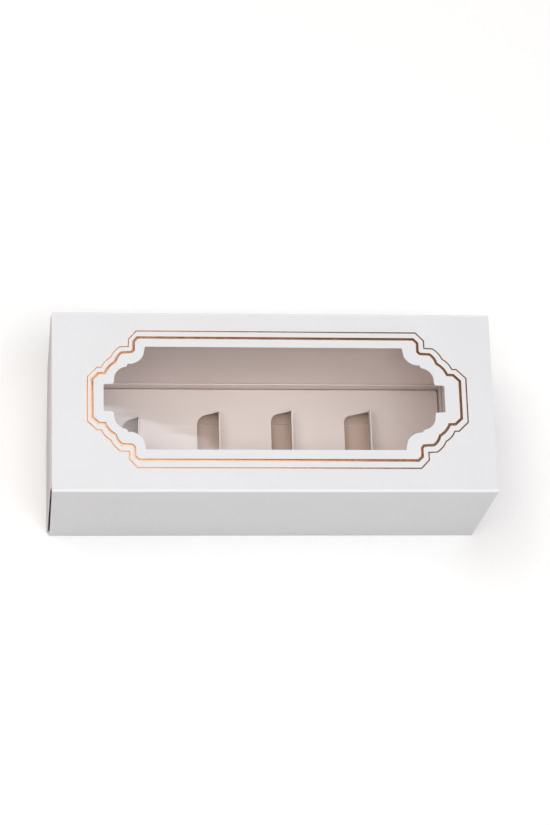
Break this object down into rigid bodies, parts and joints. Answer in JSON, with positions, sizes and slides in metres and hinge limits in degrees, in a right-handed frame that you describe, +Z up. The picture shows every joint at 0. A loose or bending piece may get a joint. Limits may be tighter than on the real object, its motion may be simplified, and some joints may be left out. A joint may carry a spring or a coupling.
{
  "type": "macaron box",
  "caption": "Long white paperboard macaron box: a sleeve with a scalloped clear window and copper foil borders, and a sliding tray whose raised insert has folded dividers.",
  "frame": {"origin": "centre of the sleeve's underside, on the surface that the box stands on", "axes": "+X along the box, with the tray showing at the -X end; +Y to the back; +Z up, towards the window"},
  "size_m": [0.1658, 0.07, 0.0601],
  "materials": {
    "sleeve_board": "coated white board, satin",
    "clear_film": "clear glossy film",
    "copper_foil": "stamped copper foil, polished",
    "tray_board": "uncoated white board, matte",
    "insert_board": "uncoated white board, matte"
  },
  "bodies": {
    "sleeve": {"sleeve": "sleeve_board", "window_film": "clear_film", "border_inner": "copper_foil", "border_outer": "copper_foil"},
    "tray": {"tray": "tray_board", "insert": "insert_board"}
  },
  "joints": [
    {"name": "tray_slide", "type": "slide", "parent": "sleeve", "child": "tray", "axis": [-1, 0, 0], "range_m": [-0.17, 0.17]}
  ]
}
